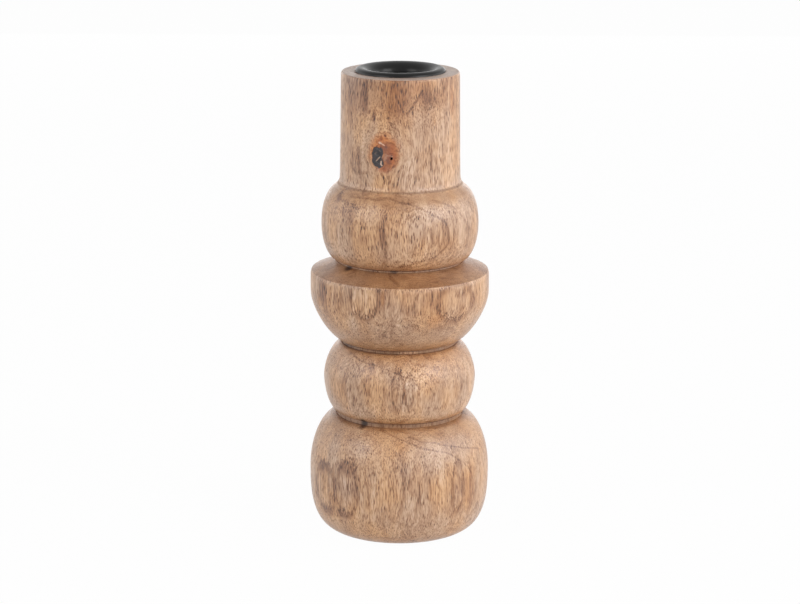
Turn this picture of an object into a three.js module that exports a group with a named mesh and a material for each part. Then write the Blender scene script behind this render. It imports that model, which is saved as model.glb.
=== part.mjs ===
// Turned wooden candle holder with a lift-out metal candle cup, on felt pads.
// Millimetres, +Z up. The origin is on the table, under the middle of the base.
import * as THREE from "three";

// Felt pads under the base
const PAD_DIAMETER = 10;
const PAD_THICKNESS = 1;
const PAD_COUNT = 4;
const PAD_EDGE_MARGIN = 0.8;

// Base: a squat barrel that stands on a flat foot
const FOOT_DIAMETER = 45.2;
const BASE_DIAMETER = 76.6;
const BASE_HEIGHT = 51.0;
const BASE_WIDEST_HEIGHT = 27.5;
const BASE_LOWER_FULLNESS = 2.87;
const BASE_UPPER_FULLNESS = 1.9;

// Mark that the lathe's tail centre leaves in the foot
const CENTRE_MARK_DIAMETER = 4;
const CENTRE_MARK_DEPTH = 2;

// Necks: narrow bands that the parting tool leaves between the forms
const LOWER_NECK_DIAMETER = 53.8;
const LOWER_NECK_HEIGHT = 1.6;
const MIDDLE_NECK_DIAMETER = 49.2;
const MIDDLE_NECK_HEIGHT = 1.2;
const UPPER_NECK_DIAMETER = 53.4;
const UPPER_NECK_HEIGHT = 0.75;

// Lower bulb
const LOWER_BULB_DIAMETER = 64.6;
const LOWER_BULB_HEIGHT = 29.9;
const LOWER_BULB_WIDEST_HEIGHT = 15.0;
const LOWER_BULB_LOWER_FULLNESS = 1.78;
const LOWER_BULB_UPPER_FULLNESS = 1.67;

// Bowl: round below, an upright wall, and a shallow cone on top that rises to the upper neck
const BOWL_DIAMETER = 75.6;
const BOWL_ROUND_HEIGHT = 20.0;
const BOWL_WALL_HEIGHT = 9.8;
const BOWL_CONE_HEIGHT = 4.4;
const BOWL_FULLNESS = 1.45;
const BOWL_RIM_ROUND = 0.35;

// Upper bulb: its shoulder runs in under the collar
const UPPER_BULB_DIAMETER = 66.4;
const UPPER_BULB_HEIGHT = 32.75;
const UPPER_BULB_WIDEST_HEIGHT = 15.05;
const UPPER_BULB_LOWER_FULLNESS = 1.95;
const UPPER_BULB_UPPER_FULLNESS = 2.21;
const SHOULDER_TUCK = 2.3;

// Collar: an upright tube that narrows a little upwards
const COLLAR_FOOT_DIAMETER = 50.9;
const COLLAR_TOP_DIAMETER = 49.6;
const COLLAR_HEIGHT = 46.9;
const COLLAR_FOOT_COVE = 2.6;
const COLLAR_TOP_ROUND = 0.7;

// Candle cup: one pressed sheet, tapered to grip a 22 mm dinner candle. Its mouth flares up to
// a crest and rolls over into a lip that stands on the collar. Its depth is below the collar's top.
const CUP_MOUTH_BORE = 24.0;
const CUP_FLOOR_BORE = 21.8;
const CUP_DEPTH = 22;
const CUP_SHEET = 1.0;
const CUP_FLOOR_BEND = 1.6;
const CUP_FLARE_HEIGHT = 4.5;
const CUP_CREST_DIAMETER = 33.6;
const CUP_CREST_HEIGHT = 1.7;
const CUP_LIP_DIAMETER = 37.8;

// Bore in the collar that the cup drops into
const CUP_SIDE_CLEARANCE = 0.3;
const CUP_FLOOR_CLEARANCE = 1.0;
const DRILL_POINT_DIAMETER = 3;
const DRILL_POINT_DEPTH = 1.2;

// Facets
const BODY_SIDES = 64;
const CUP_SIDES = 48;
const PAD_SIDES = 24;
const QUARTER_STEPS = 8;
const CORNER_STEPS = 4;
const LIP_STEPS = 6;

// Heights of the turned forms, stacked from the table up
const footZ = PAD_THICKNESS;
const baseTopZ = footZ + BASE_HEIGHT;
const lowerBulbZ = baseTopZ + LOWER_NECK_HEIGHT;
const lowerBulbTopZ = lowerBulbZ + LOWER_BULB_HEIGHT;
const bowlZ = lowerBulbTopZ + MIDDLE_NECK_HEIGHT;
const bowlWallZ = bowlZ + BOWL_ROUND_HEIGHT;
const bowlRimZ = bowlWallZ + BOWL_WALL_HEIGHT;
const bowlTopZ = bowlRimZ + BOWL_CONE_HEIGHT;
const upperBulbZ = bowlTopZ + UPPER_NECK_HEIGHT;
const upperBulbTopZ = upperBulbZ + UPPER_BULB_HEIGHT;
const collarTopZ = upperBulbTopZ + COLLAR_HEIGHT;

// Sizes that the bore and the cup share
const cupFloorZ = collarTopZ - CUP_DEPTH;
const cupUndersideZ = cupFloorZ - CUP_SHEET;
const cupMouthRadius = CUP_MOUTH_BORE / 2;
const cupFloorRadius = CUP_FLOOR_BORE / 2;
const boreRadius = cupMouthRadius + CUP_SHEET + CUP_SIDE_CLEARANCE;
const boreFloorZ = cupUndersideZ - CUP_FLOOR_CLEARANCE;
const cupCrestRadius = CUP_CREST_DIAMETER / 2;
const cupCrestZ = collarTopZ + CUP_CREST_HEIGHT;
const flareFootZ = cupCrestZ - CUP_FLARE_HEIGHT;

const at = (radius, height) => new THREE.Vector2(radius, height);

// Points of a quarter of a superellipse, from its upright end to its level end. Fullness 2 is an
// ellipse, more is squarer and less is leaner. It may stop early, at stopRadius.
function quarterRound(upright, level, fullness, steps = QUARTER_STEPS, stopRadius = level.x) {
  const power = 2 / fullness;
  const stopShare = (stopRadius - level.x) / (upright.x - level.x);
  const lastAngle = Math.acos(Math.pow(stopShare, 1 / power));
  const points = [];
  for (let i = 0; i <= steps; i++) {
    const angle = (lastAngle * i) / steps;
    const across = Math.pow(Math.max(0, Math.cos(angle)), power);
    const along = Math.pow(Math.sin(angle), power);
    const radius = level.x + (upright.x - level.x) * across;
    points.push(at(radius, upright.y + (level.y - upright.y) * along));
  }
  return points;
}

// A corner eased by a curve that leaves each of its two legs at the same distance from it.
function easedCorner(before, corner, after, distance) {
  const start = corner.clone().add(before.clone().sub(corner).setLength(distance));
  const stop = corner.clone().add(after.clone().sub(corner).setLength(distance));
  return new THREE.QuadraticBezierCurve(start, corner, stop).getPoints(CORNER_STEPS);
}

// One bulb: lower quarter, widest place, upper quarter, from its lower neck to its upper end.
function bulb({ radius, foot, widestZ, top, lowerFullness, upperFullness, stopRadius }) {
  const widest = at(radius, widestZ);
  const below = quarterRound(widest, foot, lowerFullness).reverse();
  const above = quarterRound(widest, top, upperFullness, QUARTER_STEPS, stopRadius).slice(1);
  return [...below, ...above];
}

function latheSolid(profile, sides) {
  return new THREE.LatheGeometry(profile, sides).rotateX(Math.PI / 2);
}

function baseProfile() {
  return bulb({
    radius: BASE_DIAMETER / 2,
    foot: at(FOOT_DIAMETER / 2, footZ),
    widestZ: footZ + BASE_WIDEST_HEIGHT,
    top: at(LOWER_NECK_DIAMETER / 2, baseTopZ),
    lowerFullness: BASE_LOWER_FULLNESS,
    upperFullness: BASE_UPPER_FULLNESS,
  });
}

function lowerBulbProfile() {
  return bulb({
    radius: LOWER_BULB_DIAMETER / 2,
    foot: at(LOWER_NECK_DIAMETER / 2, lowerBulbZ),
    widestZ: lowerBulbZ + LOWER_BULB_WIDEST_HEIGHT,
    top: at(MIDDLE_NECK_DIAMETER / 2, lowerBulbTopZ),
    lowerFullness: LOWER_BULB_LOWER_FULLNESS,
    upperFullness: LOWER_BULB_UPPER_FULLNESS,
  });
}

function bowlProfile() {
  const wallFoot = at(BOWL_DIAMETER / 2, bowlWallZ);
  const rim = at(BOWL_DIAMETER / 2, bowlRimZ);
  const coneTop = at(UPPER_NECK_DIAMETER / 2, bowlTopZ);
  const round = quarterRound(wallFoot, at(MIDDLE_NECK_DIAMETER / 2, bowlZ), BOWL_FULLNESS);
  return [...round.reverse(), ...easedCorner(wallFoot, rim, coneTop, BOWL_RIM_ROUND), coneTop];
}

function upperBulbProfile() {
  return bulb({
    radius: UPPER_BULB_DIAMETER / 2,
    foot: at(UPPER_NECK_DIAMETER / 2, upperBulbZ),
    widestZ: upperBulbZ + UPPER_BULB_WIDEST_HEIGHT,
    top: at(COLLAR_FOOT_DIAMETER / 2 - SHOULDER_TUCK, upperBulbTopZ),
    lowerFullness: UPPER_BULB_LOWER_FULLNESS,
    upperFullness: UPPER_BULB_UPPER_FULLNESS,
    stopRadius: COLLAR_FOOT_DIAMETER / 2 + COLLAR_FOOT_COVE,
  });
}

// The collar's cove, wall and rounded top edge, up from the shoulder's last point.
function collarProfile(shoulder) {
  const footCorner = at(COLLAR_FOOT_DIAMETER / 2, upperBulbTopZ);
  const topCorner = at(COLLAR_TOP_DIAMETER / 2, collarTopZ);
  return [
    ...easedCorner(shoulder, footCorner, topCorner, COLLAR_FOOT_COVE),
    ...easedCorner(footCorner, topCorner, at(boreRadius, collarTopZ), COLLAR_TOP_ROUND),
  ];
}

// Radius of the underside of the cup's flare where it passes the collar's top.
function flareRadiusAtCollar() {
  const rise = (collarTopZ - flareFootZ) / (CUP_FLARE_HEIGHT - CUP_SHEET);
  const width = cupCrestRadius - cupMouthRadius - CUP_SHEET;
  return cupCrestRadius - width * Math.sqrt(Math.max(0, 1 - rise * rise));
}

// The bore for the cup, down from the collar's top, with the mark of the drill's point in its floor.
// Its mouth widens to clear the flare of the cup.
function boreProfile() {
  return [
    at(flareRadiusAtCollar() + CUP_SIDE_CLEARANCE, collarTopZ),
    at(boreRadius, flareFootZ),
    at(boreRadius, boreFloorZ),
    at(DRILL_POINT_DIAMETER / 2, boreFloorZ),
    at(0, boreFloorZ - DRILL_POINT_DEPTH),
  ];
}

function bodyGeometry() {
  const centreMark = [at(0, footZ + CENTRE_MARK_DEPTH), at(CENTRE_MARK_DIAMETER / 2, footZ)];
  const upperBulb = upperBulbProfile();
  const shoulder = upperBulb[upperBulb.length - 1];
  const profile = [
    ...centreMark,
    ...baseProfile(),
    ...lowerBulbProfile(),
    ...bowlProfile(),
    ...upperBulb.slice(0, -1),
    ...collarProfile(shoulder),
    ...boreProfile(),
  ];
  return latheSolid(profile, BODY_SIDES);
}

// A face of the cup's sheet, from the foot of its flare over the crest to the foot of its lip.
function mouthFace(flareRadius, crestZ, lipRadius) {
  const flareFoot = at(flareRadius, flareFootZ);
  const crest = at(cupCrestRadius, crestZ);
  const lipFoot = at(lipRadius, collarTopZ);
  const flare = quarterRound(flareFoot, crest, 2, LIP_STEPS);
  const lip = quarterRound(lipFoot, crest, 2, LIP_STEPS);
  return [...flare, ...lip.reverse().slice(1)];
}

// The cup's sheet: up its outside from the middle of the floor to the foot of the lip, then back
// over the crest and down its inside.
function cupGeometry() {
  const lipRadius = CUP_LIP_DIAMETER / 2;
  const underCrestZ = cupCrestZ - CUP_SHEET;
  const outerFace = mouthFace(cupMouthRadius + CUP_SHEET, underCrestZ, lipRadius - CUP_SHEET);
  const innerFace = mouthFace(cupMouthRadius, cupCrestZ, lipRadius).reverse();
  const underFloor = at(0, cupUndersideZ);
  const outerCorner = at(cupFloorRadius + CUP_SHEET, cupUndersideZ);
  const innerCorner = at(cupFloorRadius, cupFloorZ);
  const floorMiddle = at(0, cupFloorZ);
  const profile = [
    underFloor,
    ...easedCorner(underFloor, outerCorner, outerFace[0], CUP_FLOOR_BEND + CUP_SHEET),
    ...outerFace,
    ...innerFace,
    ...easedCorner(innerFace[innerFace.length - 1], innerCorner, floorMiddle, CUP_FLOOR_BEND),
    floorMiddle,
  ];
  return latheSolid(profile, CUP_SIDES);
}

function padGeometry() {
  return new THREE.CylinderGeometry(PAD_DIAMETER / 2, PAD_DIAMETER / 2, PAD_THICKNESS, PAD_SIDES)
    .rotateX(Math.PI / 2);
}

const wood = new THREE.MeshStandardMaterial({ color: 0xb48a66, roughness: 0.55, metalness: 0 });
const blackMetal = new THREE.MeshStandardMaterial({ color: 0x1e1e1f, roughness: 0.45, metalness: 0.6 });
const felt = new THREE.MeshStandardMaterial({ color: 0x6b5a49, roughness: 1, metalness: 0 });

function namedMesh(name, geometry, material) {
  const mesh = new THREE.Mesh(geometry, material);
  mesh.name = name;
  return mesh;
}

// The pads stand in a ring just inside the foot's edge, the first one halfway between +X and +Y.
function feltPads() {
  const ringRadius = FOOT_DIAMETER / 2 - PAD_EDGE_MARGIN - PAD_DIAMETER / 2;
  const pads = new THREE.Group();
  for (let i = 0; i < PAD_COUNT; i++) {
    const angle = ((i + 0.5) * 2 * Math.PI) / PAD_COUNT;
    const pad = namedMesh(`felt_pad_${i + 1}`, padGeometry(), felt);
    pad.position.set(ringRadius * Math.cos(angle), ringRadius * Math.sin(angle), PAD_THICKNESS / 2);
    pads.add(pad);
  }
  return pads;
}

const candleHolder = new THREE.Group();
candleHolder.add(namedMesh("turned_body", bodyGeometry(), wood));
candleHolder.add(namedMesh("candle_cup", cupGeometry(), blackMetal));
candleHolder.add(feltPads());

export default candleHolder;
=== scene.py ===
import math
import random
from functools import reduce
from typing import NamedTuple

import bmesh
import bpy
from mathutils import Matrix, Vector


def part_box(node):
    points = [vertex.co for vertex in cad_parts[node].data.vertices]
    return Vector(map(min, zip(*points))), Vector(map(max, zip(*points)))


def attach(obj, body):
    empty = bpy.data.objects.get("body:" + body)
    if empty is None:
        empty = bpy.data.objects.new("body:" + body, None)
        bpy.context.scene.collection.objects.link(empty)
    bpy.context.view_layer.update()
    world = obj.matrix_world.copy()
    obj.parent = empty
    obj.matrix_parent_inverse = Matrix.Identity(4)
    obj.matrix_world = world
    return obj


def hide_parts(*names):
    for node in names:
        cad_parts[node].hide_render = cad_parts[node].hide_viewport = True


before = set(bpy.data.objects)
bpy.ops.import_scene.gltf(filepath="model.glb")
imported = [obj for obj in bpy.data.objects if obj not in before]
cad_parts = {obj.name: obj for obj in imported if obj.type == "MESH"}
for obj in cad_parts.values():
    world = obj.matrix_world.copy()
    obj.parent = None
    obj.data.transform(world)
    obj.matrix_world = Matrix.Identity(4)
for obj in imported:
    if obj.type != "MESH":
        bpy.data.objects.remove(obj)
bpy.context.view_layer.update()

MM = 0.001

# Camera, worked out from the photograph's rims and silhouette: metres, degrees, and lens in mm
CAMERA_DISTANCE = 1.115
CAMERA_HEIGHT = 0.3737
CAMERA_PITCH = 13.79
CAMERA_ROLL = 0.195
CAMERA_SIDE = 0.00012
CAMERA_LENS = 121.31
CAMERA_SENSOR = 36.0

# From here on, sizes are in millimetres and turns in degrees. Azimuth 0 faces the camera, and 90 faces +X.

# How sharp a bend of an outline counts as a corner
CORNER_ANGLE = 35.0

# Fineness of the turned meshes: rows along the outline and columns around it
BODY_ROW = 1.3
BODY_COLUMN = 2.0
KNOT_ROW = 0.28
KNOT_COLUMN = 0.6
CUP_ROW = 0.5
CUP_COLUMN = 2.5
PAD_COLUMN = 4.0

# The step between a smooth outline's points, from which the rows are picked
CURVE_STEP = 0.05

# In metres: vertices this close are one, and points this close to a plane lie on it
WELD_REACH = 1e-7
PLANE_REACH = 1e-6

# A row this close to the axis is a single point, and no two points of a curve count as closer than the gap
AXIS_REACH = 1e-4
SMALLEST_GAP = 1e-6

# Where the collar's wall is: above this height and outside this radius
COLLAR_WALL_HEIGHT = 154.0
COLLAR_WALL_RADIUS = 24.0

# The knot in the collar: its middle, its reach, and how proud it stands between two shares of that reach
KNOT_AZIMUTH = -15.4
KNOT_HEIGHT = 169.3
KNOT_HALF_WIDTH = 6.8
KNOT_HALF_HEIGHT = 7.6
KNOT_SWELL = 0.12
SWELL_SLOPE = (1.5, 0.6)

# How far the knot can reach round the collar, and where its mesh is fine: degrees, and share of its height
KNOT_SECTOR = 24.0
KNOT_FINE_LEFT = 18.0
KNOT_FINE_RIGHT = 16.0
KNOT_FINE_HEIGHT = 1.15

# The black filler: its outline is an oval with waves (number, start, size), and its sunk face ripples
FILLER_AZIMUTH = -21.4
FILLER_HEIGHT = 167.0
FILLER_HALF_WIDTH = 2.3
FILLER_HALF_HEIGHT = 4.6
FILLER_WAVES = [(2, -0.9, 0.10), (3, 0.6, 0.07), (7, 0.0, 0.04)]
FILLER_DEPTH = 0.3
FILLER_SLOPE = (0.86, 1.06)
FILLER_RIPPLE = 0.25
RIPPLE_UP = 2.1
RIPPLE_ROUND = 0.3

# The pinhole beside the filler
PINHOLE_AZIMUTH = -8.3
PINHOLE_HEIGHT = 166.8
PINHOLE_RADIUS = 0.60
PINHOLE_SQUASH = 1.15
PINHOLE_DEPTH = 1.5
PINHOLE_SLOPE = (0.35, 1.05)

# The collar's outer top edge, worn round
EDGE_WEAR = 0.8
EDGE_STEPS = 6
EDGE_BAND = 1.5
EDGE_SLACK = 0.05


def srgb(red, green, blue):
    """A linear colour from the 0 to 255 values that a picture shows."""
    def linear(value):
        share = value / 255
        return share / 12.92 if share <= 0.04045 else ((share + 0.055) / 1.055) ** 2.4
    return (linear(red), linear(green), linear(blue), 1.0)


# Turned meshes, made from the outline of the node that they stand for

def half_outline(node):
    """The points (radius, height) where a turned node meets the plane y = 0, in order from its lowest."""
    mesh = bmesh.new()
    mesh.from_mesh(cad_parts[node].data)
    bmesh.ops.remove_doubles(mesh, verts=mesh.verts, dist=WELD_REACH)
    left = {vert for vert in mesh.verts if abs(vert.co.y) < PLANE_REACH and vert.co.x > -PLANE_REACH}
    here = min((vert for vert in left if vert.co.x < PLANE_REACH), key=lambda vert: vert.co.z)
    outline = []
    while here is not None:
        left.discard(here)
        outline.append((max(here.co.x, 0.0) / MM, here.co.z / MM))
        beside = [edge.other_vert(here) for edge in here.link_edges]
        here = next((vert for vert in beside if vert in left), None)
    mesh.free()
    return outline


def bend(before, here, after):
    """How far an outline turns to the left at a point, in degrees."""
    into = math.atan2(here[1] - before[1], here[0] - before[0])
    out = math.atan2(after[1] - here[1], after[0] - here[0])
    return (math.degrees(out - into) + 180) % 360 - 180


def split_at_corners(outline):
    """The outline as smooth runs that share their end points, cut wherever it turns sharply."""
    runs = [[outline[0]]]
    for before, here, after in zip(outline, outline[1:], outline[2:]):
        runs[-1].append(here)
        if abs(bend(before, here, after)) > CORNER_ANGLE:
            runs.append([here])
    runs[-1].append(outline[-1])
    return runs


def smooth_point(before, start, end, after, share):
    """A point of the centripetal Catmull-Rom curve from start to end."""
    def between(first, second, first_knot, second_knot, knot):
        weight = (knot - first_knot) / (second_knot - first_knot)
        return tuple(a + (b - a) * weight for a, b in zip(first, second))

    knots = [0.0]
    for first, second in ((before, start), (start, end), (end, after)):
        knots.append(knots[-1] + max(math.dist(first, second), SMALLEST_GAP) ** 0.5)
    knot = knots[1] + (knots[2] - knots[1]) * share
    low = between(before, start, knots[0], knots[1], knot)
    middle = between(start, end, knots[1], knots[2], knot)
    high = between(end, after, knots[2], knots[3], knot)
    low = between(low, middle, knots[0], knots[2], knot)
    high = between(middle, high, knots[1], knots[3], knot)
    return between(low, high, knots[1], knots[2], knot)


def refine(run, pitch):
    """A smooth run drawn again with points about as far apart as pitch(point) asks."""
    first = tuple(2 * a - b for a, b in zip(run[0], run[1]))
    last = tuple(2 * a - b for a, b in zip(run[-1], run[-2]))
    padded = [first] + run + [last]
    fine = [run[0]]
    for four in zip(padded, padded[1:], padded[2:], padded[3:]):
        steps = max(2, math.ceil(math.dist(four[1], four[2]) / CURVE_STEP))
        fine += [smooth_point(*four, step / steps) for step in range(1, steps + 1)]
    reach = [0.0]
    for start, end in zip(fine, fine[1:]):
        reach.append(reach[-1] + math.dist(start, end) / pitch(end))
    count = max(1, round(reach[-1]))
    chosen = [run[0]]
    place = 0
    for number in range(1, count):
        while reach[place] < reach[-1] * number / count:
            place += 1
        chosen.append(fine[place])
    return chosen + [run[-1]]


def on_surface(azimuth, radius, height):
    """The point at an azimuth, a distance from the axis and a height."""
    turn = math.radians(azimuth)
    return Vector((radius * math.sin(turn), -radius * math.cos(turn), height))


def add_object(name, data):
    made = bpy.data.objects.new(name, data)
    bpy.context.scene.collection.objects.link(made)
    return made


def end_mesh(name, mesh):
    """A bmesh as mesh data."""
    data = bpy.data.meshes.new(name)
    mesh.to_mesh(data)
    mesh.free()
    return data


def lathe(name, rows, azimuths, shift=None):
    """A closed turned mesh. shift, where it is given, says how far a point moves out."""
    mesh = bmesh.new()
    rings = []
    for radius, height in rows:
        if radius < AXIS_REACH:
            rings.append([mesh.verts.new((0, 0, height * MM))])
            continue
        ring = []
        for azimuth in azimuths:
            reach = radius + (shift(azimuth, radius, height) if shift else 0.0)
            turn = math.radians(azimuth)
            across = (reach * math.sin(turn) * MM, -reach * math.cos(turn) * MM)
            ring.append(mesh.verts.new((*across, height * MM)))
        rings.append(ring)
    count = len(azimuths)
    for lower, upper in zip(rings, rings[1:]):
        for column in range(count):
            beside = (column + 1) % count
            if len(lower) == 1:
                mesh.faces.new((lower[0], upper[beside], upper[column]))
            elif len(upper) == 1:
                mesh.faces.new((lower[column], lower[beside], upper[0]))
            else:
                mesh.faces.new((lower[column], lower[beside], upper[beside], upper[column]))
    bmesh.ops.recalc_face_normals(mesh, faces=mesh.faces)
    data = end_mesh(name, mesh)
    data.shade_smooth()
    data.set_sharp_from_angle(angle=math.radians(CORNER_ANGLE))
    return add_object(name, data)


def turned_rows(node, pitch):
    """The rows of a turned mesh: the node's outline with its curves drawn smooth."""
    rows = []
    for run in split_at_corners(half_outline(node)):
        rows += refine(run, pitch)[1 if rows else 0:]
    return rows


def even_azimuths(step):
    """Azimuths all the way round, about step apart."""
    count = round(360 / step)
    return [360 * number / count for number in range(count)]


def top_height(rows):
    return max(height for radius, height in rows)


def surface_radius(rows, height):
    """How far the turned surface reaches from the axis at a height."""
    reach = 0.0
    for (radius, low), (next_radius, high) in zip(rows, rows[1:]):
        if min(low, high) <= height <= max(low, high) and high != low:
            share = (height - low) / (high - low)
            reach = max(reach, radius + (next_radius - radius) * share)
    return reach


# The holder's turned body with its knot

def filler_share(azimuth, height, radius):
    """How far inside the knot's black filler a point of the collar is: over 1 is outside."""
    across = math.radians(azimuth - FILLER_AZIMUTH) * radius / FILLER_HALF_WIDTH
    up = (height - FILLER_HEIGHT) / FILLER_HALF_HEIGHT
    angle = math.atan2(up, across)
    uneven = sum((size * math.sin(count * angle + start) for count, start, size in FILLER_WAVES), 1.0)
    return math.hypot(across, up) / uneven


def pinhole_share(azimuth, height, radius):
    """How far from the pinhole's middle a point of the collar is: over 1 is outside."""
    across = math.radians(azimuth - PINHOLE_AZIMUTH) * radius
    up = height - PINHOLE_HEIGHT
    return math.hypot(across, up * PINHOLE_SQUASH) / PINHOLE_RADIUS


def ease(slope, value):
    """0 up to the slope's first end, 1 from its second end on, and a smooth step between."""
    share = min(1.0, max(0.0, (value - slope[0]) / (slope[1] - slope[0])))
    return share * share * (3 - 2 * share)


def is_collar_wall(radius, height):
    return height > COLLAR_WALL_HEIGHT and radius > COLLAR_WALL_RADIUS


def knot_shift(azimuth, radius, height):
    """The knot stands a hair proud, its filler has shrunk back, and one pinhole goes in."""
    turn = (azimuth + 180) % 360 - 180
    if not is_collar_wall(radius, height) or abs(turn - KNOT_AZIMUTH) > KNOT_SECTOR:
        return 0.0
    across = math.radians(turn - KNOT_AZIMUTH) * radius / KNOT_HALF_WIDTH
    up = (height - KNOT_HEIGHT) / KNOT_HALF_HEIGHT
    swell = KNOT_SWELL * ease(SWELL_SLOPE, math.hypot(across, up))
    ripple = 1 - FILLER_RIPPLE + FILLER_RIPPLE * math.sin(RIPPLE_UP * height + RIPPLE_ROUND * azimuth)
    dip = FILLER_DEPTH * (1 - ease(FILLER_SLOPE, filler_share(turn, height, radius))) * ripple
    hole = PINHOLE_DEPTH * (1 - ease(PINHOLE_SLOPE, pinhole_share(turn, height, radius)))
    return swell - dip - hole


def wear_edge(rows):
    """The rows with the collar's outer top edge rounded by handling."""
    top = top_height(rows)
    wall = max(radius for radius, height in rows if height > top - EDGE_BAND)
    low = top - EDGE_WEAR
    inner = wall - EDGE_WEAR
    kept = [row for row in rows if not (row[1] > low - EDGE_SLACK and row[0] > inner - EDGE_SLACK)]
    place = next(number for number, row in enumerate(rows) if row not in kept)
    reach = surface_radius(rows, low)
    arc = []
    for step in range(EDGE_STEPS + 1):
        turn = math.radians(90 * step / EDGE_STEPS)
        arc.append((reach - EDGE_WEAR * (1 - math.cos(turn)), low + EDGE_WEAR * math.sin(turn)))
    return kept[:place] + arc + kept[place:]


def knot_pitch(point):
    """How far apart the body's rows are at a point (radius, height): close together beside the knot."""
    radius, height = point
    close = abs(height - KNOT_HEIGHT) < KNOT_HALF_HEIGHT * KNOT_FINE_HEIGHT
    return KNOT_ROW if close and is_collar_wall(radius, height) else BODY_ROW


def body_azimuths():
    """Columns close together across the knot and wider everywhere else."""
    low = KNOT_AZIMUTH - KNOT_FINE_LEFT
    high = KNOT_AZIMUTH + KNOT_FINE_RIGHT
    near = math.ceil((high - low) / KNOT_COLUMN)
    far = math.ceil((360 - (high - low)) / BODY_COLUMN)
    columns = [low + (high - low) * number / near for number in range(near)]
    columns += [high + (360 - high + low) * number / far for number in range(far)]
    return columns


def make_body():
    rows = wear_edge(turned_rows("turned_body", knot_pitch))
    piece = lathe("turned_wood", rows, body_azimuths(), knot_shift)
    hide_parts("turned_body")
    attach(piece, "holder")
    return piece, rows


def make_cup():
    rows = turned_rows("candle_cup", lambda point: CUP_ROW)
    piece = lathe("pressed_cup", rows, even_azimuths(CUP_COLUMN))
    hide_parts("candle_cup")
    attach(piece, "cup")
    return piece


# Felt pads

PAD_NODES = sorted(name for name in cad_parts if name.startswith("felt_pad_"))

# How far the cut edge frays inwards, in waves of so many to a turn, drawn by lot between two sizes
PAD_FUZZ = 0.06
PAD_WAVES = (3, 5, 9, 17, 29)
PAD_WAVE_SIZES = (0.4, 1.0)

# The rounded lower edge, and the side above it: distance inside the edge, and share of the thickness
PAD_EDGE = 0.22
PAD_EDGE_STEPS = 4
PAD_SIDE = [(0.0, 0.6), (0.03, 0.85), (0.1, 1.0)]

# The rings of the flat faces, as shares of the radius
PAD_LOWER_RINGS = (0.0, 0.35, 0.7)
PAD_UPPER_RINGS = (0.5, 0.0)


def make_pad(node):
    """A cut disc of felt with a soft lower edge and a slightly uneven outline, inside its node's box."""
    low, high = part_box(node)
    middle = (low + high) / 2
    radius = (high.x - low.x) / 2 / MM
    thick = (high.z - low.z) / MM
    draw = random.Random(int(node[-1]))
    waves = [(count, draw.uniform(0, math.tau), draw.uniform(*PAD_WAVE_SIZES)) for count in PAD_WAVES]
    total = sum(wave[2] for wave in waves)

    def ragged(azimuth, reach, height):
        turn = math.radians(azimuth)
        wave = sum(size * math.sin(count * turn + start) for count, start, size in waves) / total
        return -PAD_FUZZ * (1 - wave) * reach / radius

    rows = [(radius * share, 0.0) for share in PAD_LOWER_RINGS]
    rows.append((radius - 2 * PAD_EDGE, 0.0))
    for step in range(PAD_EDGE_STEPS + 1):
        turn = math.radians(90 * step / PAD_EDGE_STEPS - 90)
        rows.append((radius - PAD_EDGE * (1 - math.cos(turn)), PAD_EDGE * (1 + math.sin(turn))))
    rows += [(radius - inside, thick * share) for inside, share in PAD_SIDE]
    rows += [(radius * share, thick) for share in PAD_UPPER_RINGS]
    piece = lathe(node + "_disc", rows, even_azimuths(PAD_COLUMN), ragged)
    piece.location = (middle.x, middle.y, low.z)
    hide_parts(node)
    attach(piece, "holder")
    return piece


# Materials

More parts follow.
